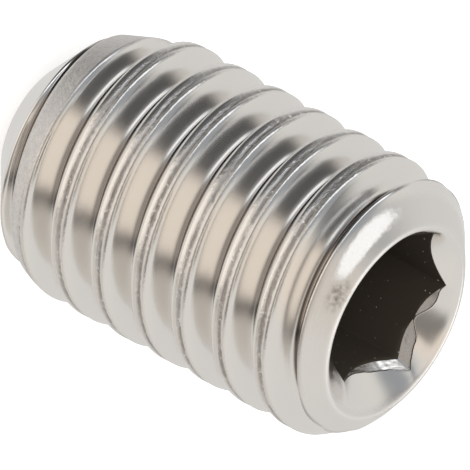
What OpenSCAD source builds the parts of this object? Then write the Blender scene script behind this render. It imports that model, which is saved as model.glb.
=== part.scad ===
// Hexagon socket set screw with a cup point: one headless stainless steel stud,
// threaded over its whole length, standing on its cup with the socket on top.
// Millimetres, +Z along the screw's axis, origin at the middle of the cup's rim.

/* [Thread] */
// Outside diameter over the thread crests
thread_d = 3.9; // [3.5:0.05:4.5]
// Distance from one crest to the next, along the axis
thread_pitch = 0.7; // [0.5:0.05:0.8]
// Depth of the thread, from crest to root, along the radius
thread_depth = 0.38; // [0.25:0.01:0.45]
// Width of the land on top of each crest
crest_land = 0.2; // [0.08:0.01:0.25]
// Angle between the two flanks of the groove
flank_angle = 60; // [50:1:70]
// Turn of the thread: where a crest line would cross the bottom plane
thread_start = 85; // [0:1:360]

/* [Body] */
// Length from the cup's rim to the socket face
length = 6.1; // [4.5:0.1:12]
// Diameter of the flat face around the socket
face_d = 2.85; // [2.75:0.05:3.1]
// Slope of the chamfer around the socket face, from the axis
face_chamfer_angle = 52; // [30:1:65]

/* [Cup point] */
// Height above the rim at which the thread reaches its full diameter
lead_length = 1.3; // [0.9:0.05:1.6]
// Slope of the tapered start of the thread, from the axis
lead_angle = 20; // [10:1:25]
// Outside diameter of the rim that bites into a shaft
rim_d = 1.9; // [1.6:0.05:2.4]
// Width of the rim's flat land
rim_land = 0.1; // [0.05:0.01:0.2]
// Slope of the point's outside, from the axis
point_angle = 50; // [35:1:60]
// Included angle of the hollow in the point
cup_angle = 120; // [90:1:140]

/* [Socket] */
// Width of the hexagon across its flats
socket_af = 2; // [1.5:0.05:2.2]
// Depth of the hexagon below the socket face
socket_depth = 2.5; // [1.5:0.1:3.2]
// Diameter of the countersink at the socket face
countersink_d = 2.7; // [2.6:0.01:2.72]
// Included angle of the countersink
countersink_angle = 90; // [80:1:120]
// Diameter of the drilled hole that the hexagon follows
pilot_d = 1.8; // [1.2:0.05:1.9]
// Included angle of the drilled hole's tip
pilot_tip_angle = 120; // [100:1:140]

/* [Hidden] */

// Points on one pitch of the thread's profile
profile_steps = 12;
// Columns of points that share one step of the profile
columns_per_step = 4;
// Columns of points around the screw
columns = profile_steps * columns_per_step;
// Height of one step of the profile
step_z = thread_pitch / profile_steps;
// Steps below the bottom plane at which the uncut thread starts
lead_in_steps = 2;
// Steps of the profile from the bottom plane to the end of the uncut thread
lead_out_step = ceil(length / step_z) + lead_in_steps;
// Overshoot of a cutter or a blank past the face that it shapes
overshoot = 0.1;
// Across corners, a hexagon is wider than across flats by this factor
corners_per_flats = 1 / cos(30);
// Facets around a turned surface, for the preview
turned_facets = 96;
steel = [0.78, 0.77, 0.75];

// Distance along the axis from a point to the middle of the nearest crest
function crest_distance(turn, z) =
    let (pitches = z / thread_pitch - turn)
    abs(pitches - round(pitches)) * thread_pitch;

// Fall of the surface below the crest, at that distance from the crest's middle
function thread_fall(distance) =
    let (down_flank = (distance - crest_land / 2) / tan(flank_angle / 2))
    min(max(down_flank, 0), thread_depth);

function thread_point(column, z) =
    let (
        turn = column / columns,
        r = thread_d / 2 - thread_fall(crest_distance(turn, z))
    )
    [r * cos(360 * turn), r * sin(360 * turn), z];

// Each column starts a little higher than the last, so that rows climb with the helix
function row_z(column, row) =
    step_z * (row + (column % columns_per_step) / columns_per_step);

// Two triangles between neighbouring columns, split along the climb of the helix
function thread_patch(column, ring) =
    let (
        next = (column + 1) % columns,
        low = ring * columns,
        high = low + columns
    )
    [[low + column, high + column, high + next], [low + column, high + next, low + next]];

// A threaded rod with flat ends, a little longer than the screw
module threaded_rod() {
    around = [0 : columns - 1];
    climbing_rows = [1 - lead_in_steps : lead_out_step - 2];
    points = [
        for (column = around) thread_point(column, -lead_in_steps * step_z),
        for (row = climbing_rows, column = around) thread_point(column, row_z(column, row)),
        for (column = around) thread_point(column, lead_out_step * step_z)
    ];
    rings = len(points) / columns;
    flanks = [for (ring = [0 : rings - 2], column = around) each thread_patch(column, ring)];
    bottom = [for (column = around) column];
    top = [for (column = around) len(points) - 1 - column];
    rotate(thread_start)
        polyhedron(points = points, faces = concat([bottom, top], flanks));
}

// The turned outline of the screw: chamfered at both ends, and clear of the crests between
module turned_blank() {
    blank_r = thread_d / 2 + overshoot;
    point_height = (blank_r - rim_d / 2) / tan(point_angle);
    chamfer_height = (blank_r - face_d / 2) / tan(face_chamfer_angle);
    rotate_extrude($fn = turned_facets)
        polygon([
            [0, 0],
            [rim_d / 2, 0],
            [blank_r, point_height],
            [blank_r, length - chamfer_height],
            [face_d / 2, length],
            [0, length]
        ]);
}

// The taper that keeps the first crests low, narrow at the point and clear of the thread past it
module lead_taper() {
    widening = tan(lead_angle);
    low_r = thread_d / 2 - (lead_length + overshoot) * widening;
    height = length + 2 * overshoot;
    translate([0, 0, -overshoot])
        cylinder(h = height, r1 = low_r, r2 = low_r + height * widening, $fn = turned_facets);
}

// A cone that widens upwards from its tip to a mouth at z = 0, and on past it
module conical_cutter(mouth_d, included_angle) {
    widening = tan(included_angle / 2);
    depth = mouth_d / 2 / widening;
    mouth_r = mouth_d / 2 + overshoot * widening;
    translate([0, 0, -depth])
        cylinder(h = depth + overshoot, r1 = 0, r2 = mouth_r, $fn = turned_facets);
}

// The hexagon for the key, with a countersunk mouth and the tip of the hole drilled for it
module socket_cutter() {
    translate([0, 0, length])
        conical_cutter(countersink_d, countersink_angle);
    translate([0, 0, length - socket_depth]) {
        cylinder(h = socket_depth + overshoot, d = socket_af * corners_per_flats, $fn = 6);
        conical_cutter(pilot_d, pilot_tip_angle);
    }
}

// The hollow that leaves a narrow rim on the point
module cup_cutter() {
    mirror([0, 0, 1])
        conical_cutter(rim_d - 2 * rim_land, cup_angle);
}

module set_screw() {
    color(steel)
        difference() {
            intersection() {
                threaded_rod();
                turned_blank();
                lead_taper();
            }
            socket_cutter();
            cup_cutter();
        }
}

set_screw();
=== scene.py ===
"""Looks of the hexagon socket set screw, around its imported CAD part.

The CAD solid gives the size and the place. Here one Geometry Nodes tree draws the same screw finely
enough for its rolled crests, rounded edges and pressed socket to show, and one material gives it its
bare stainless steel. Lengths in the tree are millimetres, and the finished mesh is in metres.
"""

import math

import bpy
from mathutils import Matrix, Vector


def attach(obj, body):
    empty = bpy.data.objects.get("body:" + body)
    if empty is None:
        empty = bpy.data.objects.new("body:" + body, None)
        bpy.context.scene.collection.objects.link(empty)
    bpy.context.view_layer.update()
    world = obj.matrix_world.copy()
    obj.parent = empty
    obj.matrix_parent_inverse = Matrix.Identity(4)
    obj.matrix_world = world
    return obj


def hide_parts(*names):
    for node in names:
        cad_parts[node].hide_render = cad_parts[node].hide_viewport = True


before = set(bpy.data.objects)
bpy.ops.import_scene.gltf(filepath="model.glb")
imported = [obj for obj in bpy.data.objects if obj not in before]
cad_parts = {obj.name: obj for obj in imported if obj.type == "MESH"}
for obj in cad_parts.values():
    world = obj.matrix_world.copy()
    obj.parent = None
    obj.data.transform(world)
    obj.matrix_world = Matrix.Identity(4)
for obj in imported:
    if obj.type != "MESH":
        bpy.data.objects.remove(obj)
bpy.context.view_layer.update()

MM = 0.001
FULL_TURN = 2 * math.pi

# Sizes of the screw, as the CAD part has them, in millimetres and degrees
SCREW_SIZES = {
    "thread diameter": 3.9,
    "thread pitch": 0.7,
    "thread depth": 0.38,
    "crest land": 0.2,
    "flank angle": 60.0,
    "thread start": 85.0,
    "length": 6.1,
    "face diameter": 2.85,
    "face chamfer angle": 52.0,
    "lead length": 1.3,
    "lead angle": 20.0,
    "rim diameter": 1.9,
    "rim land": 0.1,
    "point angle": 50.0,
    "cup angle": 120.0,
    "socket across flats": 2.0,
    "socket depth": 2.5,
    "countersink diameter": 2.7,
    "countersink angle": 90.0,
    "pilot diameter": 1.8,
    "pilot tip angle": 120.0,
}

# How finely the screw is drawn
COLUMNS = 288
ROWS_PER_PITCH = 28
THREAD_TURNS = 10
ROWS_PER_WALL = 5
ROWS_PER_ROUNDING = 5

# How far the wound strip stops short of the point's rim and of the face
POINT_DROP = 0.03
FACE_DROP = 0.07
# How far the lip around the socket sits off the axis
LIP_SHIFT = 0.06

# The photograph's view: from the side and the socket end, with that end turned down to the right.
# Angles are degrees: round the axis, away from the axis, and of the axis below level in the picture.
VIEW_TURN = -2.6
VIEW_FROM_AXIS = 60.17
AXIS_BELOW_LEVEL = 28.63
PIXELS = 470
PIXELS_PER_MM = 75.406
# Middle of the picture, sideways and along the axis, in millimetres
MIDDLE_OF_VIEW = (0.051, 3.3)


# Fields: arithmetic on the sockets of a Geometry Nodes tree

class Field:
    """A number that varies over the mesh, with the arithmetic that the formulas below need."""

    def __init__(self, tree, socket):
        self.tree = tree
        self.socket = socket

    def __add__(self, other):
        return number(self.tree, "ADD", self, other)

    def __radd__(self, other):
        return number(self.tree, "ADD", other, self)

    def __sub__(self, other):
        return number(self.tree, "SUBTRACT", self, other)

    def __rsub__(self, other):
        return number(self.tree, "SUBTRACT", other, self)

    def __mul__(self, other):
        return number(self.tree, "MULTIPLY", self, other)

    def __rmul__(self, other):
        return number(self.tree, "MULTIPLY", other, self)

    def __truediv__(self, other):
        return number(self.tree, "DIVIDE", self, other)


def feed(tree, socket, value):
    """Links a Field or a socket to an input, or sets a plain value on it."""
    if isinstance(value, Field):
        tree.links.new(value.socket, socket)
    elif isinstance(value, bpy.types.NodeSocket):
        tree.links.new(value, socket)
    else:
        socket.default_value = value


def number(tree, operation, *operands):
    """One Math node."""
    node = tree.nodes.new("ShaderNodeMath")
    node.operation = operation
    for socket, operand in zip(node.inputs, operands):
        feed(tree, socket, operand)
    return Field(tree, node.outputs[0])


def sine(angle):
    return number(angle.tree, "SINE", angle)


def cosine(angle):
    return number(angle.tree, "COSINE", angle)


def slope(degrees):
    """Tangent of an angle in degrees."""
    return number(degrees.tree, "TANGENT", number(degrees.tree, "RADIANS", degrees))


def lesser(a, b, rounding=0.0):
    """The smaller of two, blended over a band that is as wide as the rounding."""
    if rounding:
        return number(a.tree, "SMOOTH_MIN", a, b, rounding)
    return number(a.tree, "MINIMUM", a, b)


def greater(a, b, rounding=0.0):
    """The larger of two, blended over a band that is as wide as the rounding."""
    if rounding:
        return number(a.tree, "SMOOTH_MAX", a, b, rounding)
    return number(a.tree, "MAXIMUM", a, b)


def hump(distance, half_width):
    """1 where the distance is 0, falling smoothly to 0 at the half width."""
    share = distance / half_width
    left = greater(1.0 - share * share, 0.0)
    return left * left


def ramp(value, start, end):
    """0 below start, 1 above end, smooth between them."""
    node = value.tree.nodes.new("ShaderNodeMapRange")
    node.interpolation_type = "SMOOTHSTEP"
    for name, operand in (("Value", value), ("From Min", start), ("From Max", end)):
        feed(value.tree, node.inputs[name], operand)
    return Field(value.tree, node.outputs["Result"])


def grain(tree, place, scale, detail, seed):
    """Noise from -1 to 1 at a place, with a fixed seed."""
    node = tree.nodes.new("ShaderNodeTexNoise")
    node.noise_dimensions = "4D"
    feed(tree, node.inputs["Vector"], place)
    node.inputs["W"].default_value = seed
    node.inputs["Scale"].default_value = scale
    node.inputs["Detail"].default_value = detail
    return Field(tree, node.outputs[0]) * 2.0 - 1.0


def point(tree, x, y, z):
    """A place in space, from three numbers."""
    node = tree.nodes.new("ShaderNodeCombineXYZ")
    for socket, operand in zip(node.inputs, (x, y, z)):
        feed(tree, socket, operand)
    return node.outputs[0]


def turned(angle, radius, z):
    """The place at an angle round the axis, a distance from it and a height."""
    return point(angle.tree, cosine(angle) * radius, sine(angle) * radius, z)


def between(tree, start, end, share):
    """The place that lies at a share of the way from start to end."""
    node = tree.nodes.new("ShaderNodeMix")
    node.data_type = "VECTOR"
    feed(tree, node.inputs[0], share)
    feed(tree, node.inputs[4], start)
    feed(tree, node.inputs[5], end)
    return node.outputs[1]


# Patches: sheets of quads that are bent into the screw's skin and merged at their edges

def sheet_place(tree):
    """How far across and how far along its sheet each point lies, from 0 to 1."""
    split = tree.nodes.new("ShaderNodeSeparateXYZ")
    tree.links.new(tree.nodes.new("GeometryNodeInputPosition").outputs[0], split.inputs[0])
    return Field(tree, split.outputs["X"]) + 0.5, Field(tree, split.outputs["Y"]) + 0.5


def patch(tree, columns, rows, place, marks=None):
    """A sheet with its points moved into place, and named marks on them for the material to read."""
    sheet = tree.nodes.new("GeometryNodeMeshGrid")
    sheet.inputs["Size X"].default_value = 1.0
    sheet.inputs["Size Y"].default_value = 1.0
    sheet.inputs["Vertices X"].default_value = columns + 1
    sheet.inputs["Vertices Y"].default_value = rows + 1
    mesh = sheet.outputs["Mesh"]
    for name, value in (marks or {}).items():
        store = tree.nodes.new("GeometryNodeStoreNamedAttribute")
        store.data_type = "FLOAT"
        store.domain = "POINT"
        store.inputs["Name"].default_value = name
        tree.links.new(mesh, store.inputs["Geometry"])
        feed(tree, store.inputs["Value"], value)
        mesh = store.outputs["Geometry"]
    move = tree.nodes.new("GeometryNodeSetPosition")
    tree.links.new(mesh, move.inputs["Geometry"])
    tree.links.new(place, move.inputs["Position"])
    return move.outputs["Geometry"]


def lip_radius(angle, radius):
    """The radius of the lip around the socket, which sits a little off the axis."""
    return radius + cosine(angle) * LIP_SHIFT


def crest_wear(tree, size, angle, wound, past_crest):
    """Where the lips of folded metal meet on the crest: a ragged seam, chips and drawn-out streaks.

    Gives the depth of the wear, and the marks of it that the material reads.
    """
    crest_share = 0.6
    seam_half_width, seam_depth = 0.05, 0.015
    seam_wander, seam_fray, seam_grit = 0.02, 0.006, 0.012
    seam_spread, spread_start, spread_end = 0.02, 4.2, 5.0
    chip_level, chip_depth = 0.2, 0.03
    streak_depth, streak_offset, streak_half_width = 0.004, 0.015, 0.08
    radius = size["thread diameter"] * 0.5
    here = turned(angle, radius, wound)
    ragged = grain(tree, here, scale=1.6, detail=3.0, seed=1.0)
    chipped = grain(tree, here, scale=8.0, detail=2.0, seed=2.0)
    gritty = grain(tree, here, scale=22.0, detail=2.0, seed=3.0)
    # Streaks are long around the screw and narrow along its axis
    drawn_out = turned(angle, radius * 1.5, wound * 30.0)
    streaked = grain(tree, drawn_out, scale=1.0, detail=2.0, seed=7.0)

    on_crest = hump(past_crest, size["crest land"] * crest_share)
    # The seam wanders, comes and goes, and is wider on the turns near the face
    from_seam = past_crest + ragged * seam_wander + chipped * seam_fray
    in_seam = hump(from_seam, seam_half_width + ramp(wound, spread_start, spread_end) * seam_spread)
    openness = greater(lesser(0.8 + ragged * 1.2, 1.0), 0.25)
    seam = in_seam * openness * (seam_depth + gritty * seam_grit)
    chips = greater(chipped - chip_level, 0.0) * on_crest * chip_depth
    streaks = (streaked + 1.0) * on_crest * streak_depth
    marks = {
        "crest": on_crest,
        "seam": lesser((seam + chips) / seam_depth, 1.0),
        "streak": (streaked * 0.6 + 0.6) * hump(past_crest + streak_offset, streak_half_width),
    }
    return seam + chips + streaks, marks


def thread_fall(size, share, wound):
    """How far the thread lies below its crests, at a share of the way from one crest to the next."""
    half_land_share = 0.43
    lip_fold, fold_fades, fold_ends = 0.055, 5.0, 5.5
    bend_width, slope_at_crest = 0.16, 1.57
    crest_rounding, root_rounding, root_fill = 0.06, 0.14, 0.02
    # The lip on the point's side is folded out further, up to the last turn
    fold = (1.0 - ramp(wound, fold_fades, fold_ends)) * lip_fold
    from_crest = share * size["thread pitch"]
    to_next_crest = (1.0 - share) * size["thread pitch"] - fold
    past_land = lesser(from_crest, to_next_crest) - size["crest land"] * half_land_share
    # The flank leaves the crest less steeply, and bends to its full slope further down
    full_slope = slope(90.0 - size["flank angle"] * 0.5)
    in_bend = lesser(greater(past_land, 0.0), bend_width)
    bend = (full_slope - slope_at_crest) * (in_bend - in_bend * in_bend * (0.5 / bend_width))
    down_flank = greater(past_land * full_slope - bend, 0.0, crest_rounding)
    return lesser(down_flank, size["thread depth"] - root_fill, root_rounding)


def end_cones(size, angle, z):
    """Radii of the cones that cut the thread: the point, its tapered start and the face's chamfer."""
    lead_x, lead_y, lead_cut = 0.035, -0.065, 0.035
    chamfer_lean, lean_depth = 0.07, 0.4
    point_cone = size["rim diameter"] * 0.5 + z * slope(size["point angle"])
    # The tapered start sits a little off the axis, so that it cuts the first crest unevenly
    lead_shift = cosine(angle) * lead_x + sine(angle) * lead_y - lead_cut
    lead_fall = (size["lead length"] - z) * slope(size["lead angle"])
    lead_cone = size["thread diameter"] * 0.5 + lead_shift - lead_fall
    # Further down from the face, the chamfer leans more to the side that the lip is shifted to
    below_face = size["length"] - z
    face_cone = below_face * slope(size["face chamfer angle"]) + size["face diameter"] * 0.5
    lean = ramp(below_face, FACE_DROP, lean_depth) * chamfer_lean
    face_cone = lip_radius(angle, face_cone) + cosine(angle) * lean
    return point_cone, lead_cone, face_cone


def thread_skin(tree, size, across, along):
    """One strip wound round the screw, a pitch wide, from the point's cone up to the face's chamfer."""
    crest_crowding, flank_thinning = 0.35, 0.4
    facet_inset, runout, chamfer_rounding = 0.002, 0.2, 0.05
    root_shade_from, root_shade_to = (0.42, 0.47), (0.5, 0.56)
    cut_margin, lead_margin = 0.03, 0.02
    # The strip starts a turn below the point, where it is squeezed flat
    turn = across * float(THREAD_TURNS) - 1.0
    angle = turn * FULL_TURN
    # Rows crowd towards the crests, on the strip's two edges, and thin out on the straight flanks
    share = along - sine(along * FULL_TURN) * (crest_crowding / FULL_TURN)
    share = share - sine(along * (2 * FULL_TURN)) * (flank_thinning / (2 * FULL_TURN))
    wound = size["thread pitch"] * (turn - size["thread start"] / 360.0 + share)
    top_z = size["length"] - FACE_DROP
    z = lesser(greater(wound, POINT_DROP), top_z)
    past_crest = (share - number(tree, "FLOOR", share + 0.5)) * size["thread pitch"]

    # The groove runs out just under the lip, and the crests stay inside the CAD part's facets
    wear, marks = crest_wear(tree, size, angle, wound, past_crest)
    groove = 1.0 - ramp(z, top_z - runout, top_z)
    crest_r = size["thread diameter"] * 0.5 - facet_inset
    thread_r = crest_r - (thread_fall(size, share, wound) + wear) * groove
    point_cone, lead_cone, face_cone = end_cones(size, angle, z)
    skin_r = lesser(thread_r, lesser(lesser(point_cone, lead_cone), face_cone), chamfer_rounding)

    # Painted shade darkens the thread roots, and every mark ends where a cone cuts the thread
    marks["root"] = ramp(share, *root_shade_from) * (1.0 - ramp(share, *root_shade_to))
    uncut = ramp(skin_r - thread_r, -cut_margin, 0.0)
    marks = {name: value * uncut for name, value in marks.items()}
    under_thread = ramp(thread_r - lead_cone, -lead_margin, lead_margin)
    marks["lead"] = under_thread * ramp(point_cone - lead_cone, -lead_margin, 2 * lead_margin)
    return patch(tree, COLUMNS * THREAD_TURNS, ROWS_PER_PITCH, turned(angle, skin_r, z), marks)


def ring_patches(tree, along, corners, roundings, rows, marks=None):
    """Rings of quads along a path of corners.

    Each inner corner is rounded over a share of both its legs. The marks of a leg, where given, also
    hold for the rounding at its start.
    """
    patches = []
    marks = marks or [None] * len(rows)
    start = corners[0]
    for index, rounding in enumerate(roundings):
        before, corner, after = corners[index:index + 3]
        arrive = between(tree, corner, before, rounding)
        leave = between(tree, corner, after, rounding)
        wall = between(tree, start, arrive, along)
        patches.append(patch(tree, COLUMNS, rows[index], wall, marks[index]))
        inward = between(tree, arrive, corner, along)
        outward = between(tree, corner, leave, along)
        curve = between(tree, inward, outward, along)
        patches.append(patch(tree, COLUMNS, ROWS_PER_ROUNDING, curve, marks[index + 1]))
        start = leave
    last_wall = between(tree, start, corners[-1], along)
    patches.append(patch(tree, COLUMNS, rows[-1], last_wall, marks[-1]))
    return patches


def socket_skin(tree, size, across, along):
    """From the face's chamfer over the lip, down the countersink and the hexagon to the drilled tip."""
    hexagon_shift = -0.085
    ledge_width, ledge_wall, ledge_drop, ledge_tear = 0.12, 0.012, 0.2, 0.35
    ledge_middle, ledge_reach = math.radians(60), math.radians(60)
    break_start, break_end = math.radians(78), math.radians(90)
    crescent_middle, crescent_reach, crescent_share = math.radians(104), math.radians(14), 0.6
    least_wall = 0.012
    mottle, least_painted_shade = 0.14, 0.03
    angle = across * FULL_TURN
    mouth_r = size["countersink diameter"] * 0.5
    bottom_z = size["length"] - size["socket depth"]

    def on_hexagon(radius, z):
        """The place at this angle round the hexagon's own middle, which lies off the axis."""
        return point(tree, cosine(angle) * radius + hexagon_shift, sine(angle) * radius, z)

    sector = number(tree, "FRACT", angle * (6.0 / FULL_TURN))
    hexagon_r = size["socket across flats"] * 0.5 / cosine((sector - 0.5) * (FULL_TURN / 6.0))
    # Around one corner the punch left a torn ledge, which breaks off and comes back as a short crescent
    torn = grain(tree, turned(angle, 1.0, 0.0), scale=5.0, detail=3.0, seed=8.0)
    ledge = hump(angle - ledge_middle, ledge_reach) * (1.0 - ramp(angle, break_start, break_end))
    crescent = hump(angle - crescent_middle, crescent_reach) * crescent_share
    ledge = (ledge + crescent) * (1.0 + torn * ledge_tear)
    # The countersink meets the hexagon, or the ledge, in scallops
    scallop_r = hexagon_r + ledge * ledge_width
    x = cosine(angle) * scallop_r + hexagon_shift
    y = sine(angle) * scallop_r
    from_axis = number(tree, "SQRT", x * x + y * y)
    scallop_z = size["length"] - (mouth_r - from_axis) / slope(size["countersink angle"] * 0.5)
    edge_z = scallop_z - ledge * ledge_wall - least_wall
    foot_z = edge_z - ledge * ledge_drop - least_wall

    chamfer_r = size["face diameter"] * 0.5 + slope(size["face chamfer angle"]) * FACE_DROP
    pilot_r = size["pilot diameter"] * 0.5
    tip_z = bottom_z - pilot_r / slope(size["pilot tip angle"] * 0.5)
    corners = [
        turned(angle, lip_radius(angle, chamfer_r), size["length"] - FACE_DROP),
        turned(angle, lip_radius(angle, size["face diameter"] * 0.5), size["length"]),
        turned(angle, lip_radius(angle, mouth_r), size["length"]),
        on_hexagon(scallop_r, scallop_z),
        on_hexagon(scallop_r, edge_z),
        on_hexagon(hexagon_r, foot_z),
        on_hexagon(hexagon_r, bottom_z),
        turned(angle, pilot_r, bottom_z),
        turned(angle, 0.0, tip_z),
    ]
    roundings = [0.5, 0.45, 0.1, 0.2, 0.08, 0.02, 0.1]
    rows = [3, 2, ROWS_PER_WALL, 3, 4, ROWS_PER_WALL, 3, ROWS_PER_WALL]
    spotted = grain(tree, turned(angle, 1.0, along), scale=7.0, detail=3.0, seed=9.0)
    # The socket mark is painted shade: none down to the top of the ledge, mottled on the ledge, full on
    # the hexagon, its bottom and the drilled tip
    bright, fully_shaded = {"socket": 0.0}, {"socket": 1.0}
    mottled = {"socket": greater(spotted * mottle + least_painted_shade, 0.0)}
    marks = [bright] * 4 + [mottled] + [fully_shaded] * 3
    return ring_patches(tree, along, corners, roundings, rows, marks)


def cup_skin(tree, size, across, along):
    """From the middle of the hollow in the point, over its rim, to the point's cone."""
    angle = across * FULL_TURN
    rim_r = size["rim diameter"] * 0.5
    mouth_r = rim_r - size["rim land"]
    hollow_z = mouth_r / slope(size["cup angle"] * 0.5)
    cone_r = rim_r + slope(size["point angle"]) * POINT_DROP

    corners = [
        turned(angle, 0.0, hollow_z),
        turned(angle, mouth_r, 0.0),
        turned(angle, rim_r, 0.0),
        turned(angle, cone_r, POINT_DROP),
    ]
    roundings = [0.3, 0.3]
    rows = [ROWS_PER_WALL, 2, 2]
    return ring_patches(tree, along, corners, roundings, rows)


def screw_tree(sizes):
    """The Geometry Nodes tree that draws the screw, with its sizes as named inputs."""
    merge_distance = 0.0005
    tree = bpy.data.node_groups.new("set_screw_skin", "GeometryNodeTree")
    tree.interface.new_socket("Geometry", in_out="OUTPUT", socket_type="NodeSocketGeometry")
    for name in sizes:
        tree.interface.new_socket(name, in_out="INPUT", socket_type="NodeSocketFloat")
    tree.interface.new_socket("finish", in_out="INPUT", socket_type="NodeSocketMaterial")
    given = tree.nodes.new("NodeGroupInput")
    size = {name: Field(tree, given.outputs[name]) for name in sizes}

    join = tree.nodes.new("GeometryNodeJoinGeometry")
    across, along = sheet_place(tree)
    patches = [thread_skin(tree, size, across, along)]
    patches += cup_skin(tree, size, across, along)
    patches += socket_skin(tree, size, across, along)
    for sheet in patches:
        tree.links.new(sheet, join.inputs[0])
    merge = tree.nodes.new("GeometryNodeMergeByDistance")
    merge.inputs["Distance"].default_value = merge_distance
    tree.links.new(join.outputs[0], merge.inputs["Geometry"])

    shrink = tree.nodes.new("ShaderNodeVectorMath")
    shrink.operation = "SCALE"
    shrink.inputs["Scale"].default_value = MM
    tree.links.new(tree.nodes.new("GeometryNodeInputPosition").outputs[0], shrink.inputs[0])
    metres = tree.nodes.new("GeometryNodeSetPosition")
    tree.links.new(merge.outputs["Geometry"], metres.inputs["Geometry"])
    tree.links.new(shrink.outputs[0], metres.inputs["Position"])

    smooth = tree.nodes.new("GeometryNodeSetShadeSmooth")
    tree.links.new(metres.outputs["Geometry"], smooth.inputs["Geometry"])
    realize = tree.nodes.new("GeometryNodeRealizeInstances")
    tree.links.new(smooth.outputs["Geometry"], realize.inputs["Geometry"])
    finish = tree.nodes.new("GeometryNodeSetMaterial")
    tree.links.new(realize.outputs["Geometry"], finish.inputs["Geometry"])
    tree.links.new(given.outputs["finish"], finish.inputs["Material"])
    tree.links.new(finish.outputs["Geometry"], tree.nodes.new("NodeGroupOutput").inputs[0])
    return tree


def grow(name, tree, values):
    """A plain mesh object made by a Geometry Nodes tree with these values for its inputs."""
    seed_mesh = bpy.data.meshes.new(name + "_seed")
    seed = bpy.data.objects.new(name + "_seed", seed_mesh)
    bpy.context.collection.objects.link(seed)
    modifier = seed.modifiers.new("skin", "NODES")
    modifier.node_group = tree
    for item in tree.interface.items_tree:
        if item.in_out == "INPUT":
            modifier[item.identifier] = values[item.name]
    depsgraph = bpy.context.evaluated_depsgraph_get()
    mesh = bpy.data.meshes.new_from_object(seed.evaluated_get(depsgraph))
    mesh.name = name
    seed.modifiers.remove(modifier)
    bpy.data.objects.remove(seed)
    bpy.data.meshes.remove(seed_mesh)
    grown = bpy.data.objects.new(name, mesh)
    bpy.context.collection.objects.link(grown)
    return grown


# Finish

def mark(tree, name):
    """A named mark that the Geometry Nodes tree left on the mesh."""
    node = tree.nodes.new("ShaderNodeAttribute")
    node.attribute_name = name
    return Field(tree, node.outputs["Fac"])


def blend(tree, start, end, share):
    """A colour that lies at a share of the way from start to end."""
    node = tree.nodes.new("ShaderNodeMix")
    node.data_type = "RGBA"
    feed(tree, node.inputs[0], share)
    feed(tree, node.inputs[6], start)
    feed(tree, node.inputs[7], end)
    return node.outputs[2]


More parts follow.
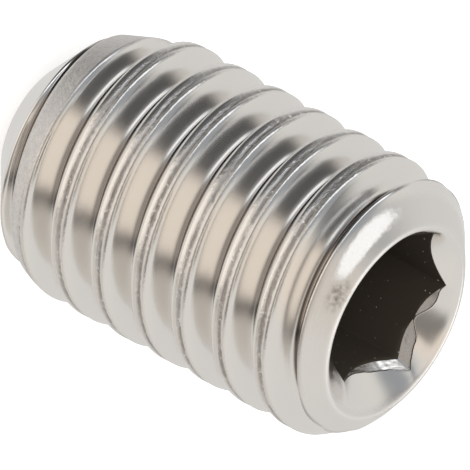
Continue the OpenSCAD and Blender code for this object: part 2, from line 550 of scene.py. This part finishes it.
def stainless_finish():
    """Bare rolled stainless steel: bright flanks, dull crests with painted highlights in specks, a lip
    worn frosty white with a painted highlight on one side, and painted shade in the thread roots and in
    the socket.
    """
    steel = (0.8, 0.775, 0.745, 1.0)
    crest_grey = (0.48, 0.465, 0.455, 1.0)
    seam_dirt = (0.4, 0.37, 0.35, 1.0)
    root_painted_shade = (0.15, 0.122, 0.105, 1.0)
    lead_grey = (0.68, 0.655, 0.645, 1.0)
    # White of frosted steel, also used as the colour of painted highlights
    frost_and_highlight_white = (0.97, 0.965, 0.955, 1.0)
    smudge_dirt = (0.2, 0.185, 0.17, 1.0)
    socket_painted_shade = (0.058, 0.048, 0.037, 1.0)
    # Places on the lip: turn and its reach in degrees, radius and its half width in millimetres
    rub_place = (-118.0, 34.0, 1.62, 0.15)
    smudge_place = (-89.0, 12.0, 1.54, 0.17)
    pitted_place = (37.0, 16.0, 1.45, 0.14)
    flank_roughness = 0.19
    relief_height = 0.012 * MM
    material = bpy.data.materials.new("rolled_stainless_steel")
    material.use_nodes = True
    tree = material.node_tree
    shader = tree.nodes["Principled BSDF"]

    metres = tree.nodes.new("ShaderNodeTexCoord").outputs["Object"]
    scale = tree.nodes.new("ShaderNodeVectorMath")
    scale.operation = "SCALE"
    scale.inputs["Scale"].default_value = 1.0 / MM
    tree.links.new(metres, scale.inputs[0])
    place = scale.outputs[0]
    split = tree.nodes.new("ShaderNodeSeparateXYZ")
    tree.links.new(place, split.inputs[0])
    x, y, z = (Field(tree, socket) for socket in split.outputs)
    angle = number(tree, "DEGREES", number(tree, "ARCTAN2", y, x))
    from_axis = number(tree, "SQRT", x * x + y * y)

    def spot(turn, turn_reach, radius, half_width):
        """1 in the middle of a place on the lip, falling smoothly to 0 around it."""
        return hump(angle - turn, turn_reach) * hump(from_axis - radius, half_width)

    mark_names = ("crest", "seam", "streak", "root", "lead")
    crest, seam, streak, root, lead = (mark(tree, name) for name in mark_names)
    socket = ramp(mark(tree, "socket"), 0.0, 0.12)
    cloudy = grain(tree, place, scale=1.4, detail=4.0, seed=4.0)
    speckled = grain(tree, place, scale=14.0, detail=3.0, seed=5.0)
    gritty = grain(tree, place, scale=38.0, detail=2.0, seed=6.0)

    # Painted highlights: white specks on the crests, where broken metal catches the light
    painted_glints = ramp(speckled + gritty * 0.8, 0.15, 0.65) * ramp(streak, 0.1, 0.5)
    # Painted shade darkens the pressed hole, with a few pale specks
    specks = ramp(gritty + speckled, 0.58, 0.72) * socket
    # The lip is satin, its outer edge is worn frosty white on one side with a painted highlight over
    # it, and a smudge ends that stretch
    lip = ramp(z, 5.72, 5.86) * ramp(from_axis, 1.3, 1.42)
    rub = spot(*rub_place) * ramp(z, 5.7, 5.8)
    frosting = rub + cloudy * 0.15 + speckled * 0.25 + gritty * 0.15
    rubbed_highlight = ramp(frosting, 0.12, 0.55) * ramp(rub, 0.02, 0.1)
    smudge = spot(*smudge_place) * ramp(speckled, -0.5, 0.6) * ramp(z, 5.8, 5.9)
    pitted = spot(*pitted_place) * ramp(z, 5.9, 6.0) * ramp(gritty, 0.1, 0.4)

    colour = blend(tree, steel, crest_grey, ramp(streak + cloudy * 0.1, 0.25, 0.8))
    colour = blend(tree, colour, seam_dirt, ramp(seam + gritty * 0.4, 0.3, 0.9))
    colour = blend(tree, colour, frost_and_highlight_white, painted_glints)
    # Painted shade in the thread roots
    colour = blend(tree, colour, root_painted_shade, root)
    colour = blend(tree, colour, frost_and_highlight_white, rubbed_highlight)
    colour = blend(tree, colour, lead_grey, lead * ramp(speckled + gritty, -0.6, 0.5))
    colour = blend(tree, colour, smudge_dirt, greater(smudge, pitted * 0.7))
    # Painted shade in the socket
    colour = blend(tree, colour, socket_painted_shade, socket)
    colour = blend(tree, colour, frost_and_highlight_white, specks)
    tree.links.new(colour, shader.inputs["Base Color"])
    # The painted shade in the socket and the painted highlights on the lip and crests take away the
    # steel's mirror, and the socket's painted shade loses most of its shine too
    metallic = 1.0 - socket - rubbed_highlight * 0.85 - painted_glints * 0.5
    feed(tree, shader.inputs["Metallic"], metallic)
    feed(tree, shader.inputs["Specular IOR Level"], 0.5 - socket * 0.42)
    roughness = flank_roughness + cloudy * 0.03 + crest * 0.2 + lead * 0.24
    roughness = roughness + lip * 0.22 + rubbed_highlight * 0.2 + socket * 0.4
    feed(tree, shader.inputs["Roughness"], roughness)

    bump = tree.nodes.new("ShaderNodeBump")
    bump.inputs["Distance"].default_value = relief_height
    speckled_share = crest * 0.5 + lead * 0.3 + rubbed_highlight * 0.5 + lip * 0.1
    relief = speckled * speckled_share + gritty * (speckled_share * 0.8) + streak * 0.5
    feed(tree, bump.inputs["Height"], relief)
    tree.links.new(bump.outputs["Normal"], shader.inputs["Normal"])
    return material


# Stage

def pale_floor():
    """A white floor that keeps a faint shadow."""
    half = 0.3
    glow = 0.55
    mesh = bpy.data.meshes.new("floor")
    corners = [(-half, -half, 0), (half, -half, 0), (half, half, 0), (-half, half, 0)]
    mesh.from_pydata(corners, [], [(0, 1, 2, 3)])
    floor = bpy.data.objects.new("floor", mesh)
    bpy.context.collection.objects.link(floor)
    material = bpy.data.materials.new("white_floor")
    material.use_nodes = True
    tree = material.node_tree
    shader = tree.nodes["Principled BSDF"]
    shader.inputs["Base Color"].default_value = (0.9, 0.9, 0.9, 1.0)
    shader.inputs["Roughness"].default_value = 0.9
    shader.inputs["Specular IOR Level"].default_value = 0.0
    shader.inputs["Emission Color"].default_value = (1.0, 1.0, 1.0, 1.0)
    rays = tree.nodes.new("ShaderNodeLightPath").outputs
    seen = number(tree, "MAXIMUM", rays["Is Camera Ray"], rays["Is Glossy Ray"])
    feed(tree, shader.inputs["Emission Strength"], seen * glow)
    mesh.materials.append(material)
    floor.visible_glossy = False


def studio_world():
    """A light tent round the screw, with a shaded front and a lamp in a dark frame.

    Places in it are told in degrees, by turn round the axis from the camera and by height.
    """
    tent = (0.83, 0.82, 0.79, 1.0)
    low_side = (0.72, 0.69, 0.65, 1.0)
    back_light = (0.78, 0.775, 0.765, 1.0)
    front_light = (1.2, 1.12, 1.03, 1.0)
    high_front = (0.93, 0.845, 0.75, 1.0)
    shade = (0.4, 0.365, 0.335, 1.0)
    dark = (0.06, 0.062, 0.066, 1.0)
    lamp_white = (1.8, 1.85, 1.92, 1.0)
    cool_side = (0.35, 0.375, 0.405, 1.0)
    high_lamp = (2.0, 2.0, 2.0, 1.0)
    world = bpy.data.worlds.new("studio")
    bpy.context.scene.world = world
    world.use_nodes = True
    tree = world.node_tree
    direction = tree.nodes.new("ShaderNodeTexCoord").outputs["Generated"]

    def along(axis):
        """How far a direction goes along an axis."""
        node = tree.nodes.new("ShaderNodeVectorMath")
        node.operation = "DOT_PRODUCT"
        node.inputs[1].default_value = axis
        tree.links.new(direction, node.inputs[0])
        return Field(tree, node.outputs["Value"])

    turn = math.radians(VIEW_TURN)
    front = along((math.sin(turn), -math.cos(turn), 0))
    above = along((-math.cos(turn), -math.sin(turn), 0))
    around = number(tree, "DEGREES", number(tree, "ARCTAN2", above, front))
    turned_away = number(tree, "ABSOLUTE", around)
    height = number(tree, "DEGREES", number(tree, "ARCSINE", along((0, 0, 1))))

    def within(value, low, high, soft):
        """1 between two limits, with soft edges."""
        return ramp(value, low - soft, low + soft) * (1.0 - ramp(value, high - soft, high + soft))

    def window(turns, turn_soft, heights, height_soft):
        """1 in a stretch of turns and heights, with soft edges."""
        return within(around, *turns, turn_soft) * within(height, *heights, height_soft)

    colour = blend(tree, tent, back_light, ramp(turned_away, 100, 140))
    colour = blend(tree, colour, low_side, window((-135, -62), 14, (-40, 0), 12))
    colour = blend(tree, colour, shade, window((-62, 30), 10, (-52, 36), 10))
    colour = blend(tree, colour, high_front, window((-36, 38), 10, (40, 100), 8))
    colour = blend(tree, colour, high_front, ramp(height, 70, 80))
    colour = blend(tree, colour, front_light, window((-58, 35), 8, (-47, -7), 9))
    colour = blend(tree, colour, dark, window((29, 110), 10, (-58, 20), 8) * 0.95)
    colour = blend(tree, colour, dark, window((94, 120), 10, (46, 78), 9) * 0.88)
    colour = blend(tree, colour, dark, window((-46, 10), 8, (52, 66), 4) * 0.9)
    # The lamp and the cool panel around it hang at a slant
    slanted = height - (around - 62.0) * 0.25
    colour = blend(tree, colour, cool_side, within(around, 28, 98, 9) * within(slanted, -11, 60, 6))
    colour = blend(tree, colour, lamp_white, within(around, 31, 95, 6) * within(slanted, -3, 14, 5))
    colour = blend(tree, colour, dark, window((-61, -48), 6, (-34, 30), 8) * 0.88)
    colour = blend(tree, colour, high_lamp, ramp(turned_away, 146, 160) * within(height, 50, 74, 6))
    tree.links.new(colour, tree.nodes["Background"].inputs["Color"])
    tree.nodes["Background"].inputs["Strength"].default_value = 1.0


def soft_lamp():
    """A lamp over the front that whitens dull places, and that bright steel doesn't mirror."""
    data = bpy.data.lights.new("soft_lamp", "AREA")
    data.shape = "DISK"
    data.size = 30 * MM
    data.energy = 0.005
    lamp = bpy.data.objects.new("soft_lamp", data)
    bpy.context.collection.objects.link(lamp)
    away = Vector((-0.3, -0.6, 0.75))
    distance = 40 * MM
    lamp.location = away * distance
    lamp.rotation_euler = away.to_track_quat("Z", "Y").to_euler()
    lamp.visible_glossy = False


def photo_camera():
    """A long lens, near enough to parallel, set by the screw's axis and rolled as the photograph is."""
    distance = 0.1
    turn = math.radians(VIEW_TURN)
    tilt = math.radians(VIEW_FROM_AXIS)
    roll = math.radians(AXIS_BELOW_LEVEL)
    towards = Vector((math.sin(turn), -math.cos(turn), 0))
    sideways = Vector((math.cos(turn), math.sin(turn), 0))
    up_axis = Vector((0, 0, 1))
    back = towards * math.sin(tilt) + up_axis * math.cos(tilt)
    axis_in_view = up_axis * math.sin(tilt) - towards * math.cos(tilt)
    right = axis_in_view * math.cos(roll) - sideways * math.sin(roll)
    up = -axis_in_view * math.sin(roll) - sideways * math.cos(roll)
    middle = (sideways * MIDDLE_OF_VIEW[0] + up_axis * MIDDLE_OF_VIEW[1]) * MM
    camera = bpy.data.objects.new("camera", bpy.data.cameras.new("camera"))
    camera.data.type = "ORTHO"
    camera.data.ortho_scale = PIXELS / PIXELS_PER_MM * MM
    camera.data.clip_start = 0.001
    camera.data.clip_end = 10.0
    camera.matrix_world = Matrix((right, up, back)).transposed().to_4x4()
    camera.location = middle + back * distance
    bpy.context.collection.objects.link(camera)
    bpy.context.scene.camera = camera


photo_camera()
studio_world()
pale_floor()
soft_lamp()

screw = grow("threaded_screw", screw_tree(SCREW_SIZES), SCREW_SIZES | {"finish": stainless_finish()})
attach(screw, "root")
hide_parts("set_screw")

bpy.context.scene.view_settings.view_transform = "Standard"
